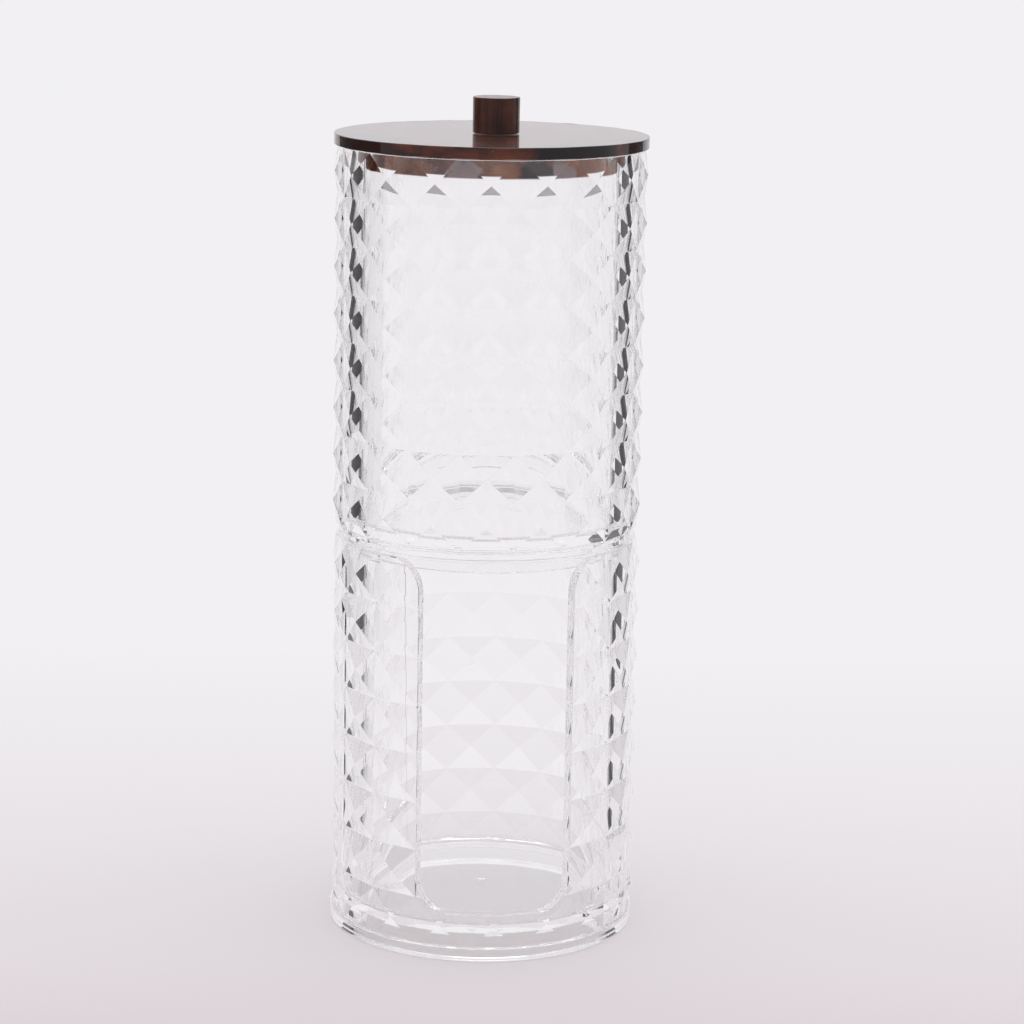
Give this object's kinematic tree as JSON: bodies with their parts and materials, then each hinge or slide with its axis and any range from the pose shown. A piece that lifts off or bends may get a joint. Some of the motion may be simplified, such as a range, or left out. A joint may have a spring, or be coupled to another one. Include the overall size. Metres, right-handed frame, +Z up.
{
  "type": "cotton pad organizer",
  "caption": "Clear stacking cotton pad organizer with studded walls, a slotted dispensing cup below, a storage cup above and a dark wooden lid with a dowel knob.",
  "frame": {"origin": "centre of the foot's lower face, on the surface it stands on", "axes": "+Z up along the cups' axis, -Y out of the slot"},
  "size_m": [0.078, 0.078, 0.2102],
  "materials": {
    "clear_plastic": "clear moulded styrene, polished",
    "dark_wood": "dark walnut stain under gloss lacquer",
    "stained_wood": "uneven brown stain, sealed"
  },
  "bodies": {
    "root": {"lower_cup": "clear_plastic", "upper_cup": "clear_plastic", "lid_disc": "dark_wood", "lid_plug": "stained_wood", "lid_knob": "dark_wood"}
  },
  "joints": []
}
